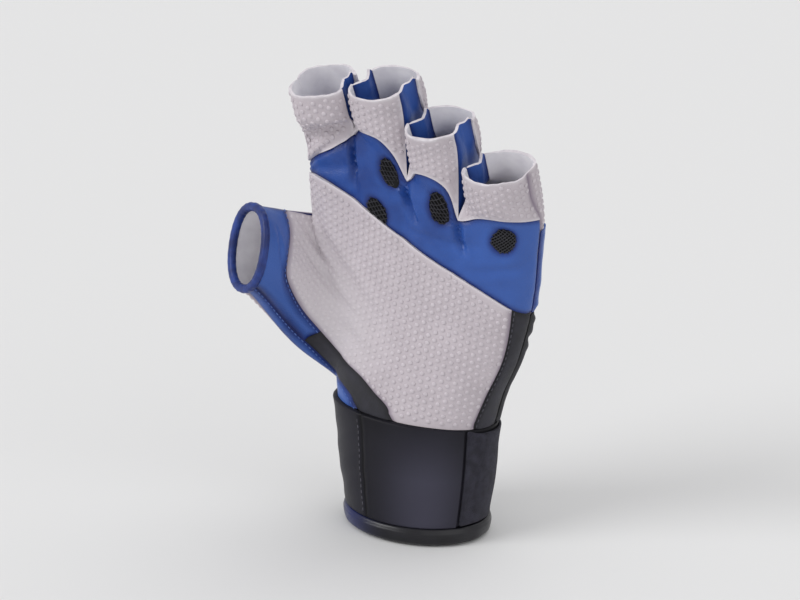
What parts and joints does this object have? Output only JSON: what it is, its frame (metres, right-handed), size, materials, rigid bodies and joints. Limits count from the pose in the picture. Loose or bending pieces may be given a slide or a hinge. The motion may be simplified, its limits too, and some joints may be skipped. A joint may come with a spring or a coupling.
{
  "type": "half-finger shooting glove",
  "caption": "Left-hand half-finger glove: dotted white leather, a blue band across the palm, open fingers and thumb, and a snug dark wrist cuff with a closure flap.",
  "frame": {"origin": "centre of the wrist opening, in the plane of the cuff's bottom edge", "axes": "+Z from the wrist towards the fingertips, -Y out of the palm, -X towards the thumb"},
  "size_m": [0.1349, 0.0776, 0.2106],
  "materials": {
    "dotted_leather": "satin white leather with raised light dots",
    "blue_leather": "smooth satin leather",
    "charcoal_fabric": "matt stretch cloth",
    "mesh_fabric": "open mesh",
    "neoprene": "smooth cloth-faced neoprene",
    "loop_fabric": "napped loop cloth",
    "gloss_binding": "glossy nylon binding",
    "patch_cloth": "matt cloth patch, bare",
    "blue_binding": "satin binding"
  },
  "bodies": {
    "root": {"cuff_band": "neoprene", "closure_flap": "loop_fabric", "cuff_binding": "gloss_binding", "cuff_patch": "patch_cloth", "palm_panel": "dotted_leather", "thumb_facing": "blue_leather", "radial_piping": "blue_leather", "radial_strip": "charcoal_fabric", "ulnar_strip": "charcoal_fabric", "knuckle_band": "blue_leather", "vent_middle": "mesh_fabric", "vent_ring": "mesh_fabric", "vent_little": "mesh_fabric", "vent_crescent": "mesh_fabric", "finger_tab_index": "dotted_leather", "finger_tab_middle": "dotted_leather", "finger_tab_ring": "dotted_leather", "finger_tab_little": "dotted_leather", "back_finger_panel": "dotted_leather", "back_panel": "dotted_leather", "back_mesh": "mesh_fabric", "fourchette_index_middle": "blue_leather", "fourchette_middle_ring": "blue_leather", "fourchette_ring_little": "blue_leather", "thumb_web_gusset": "blue_leather", "thumb_binding": "blue_binding"}
  },
  "joints": []
}
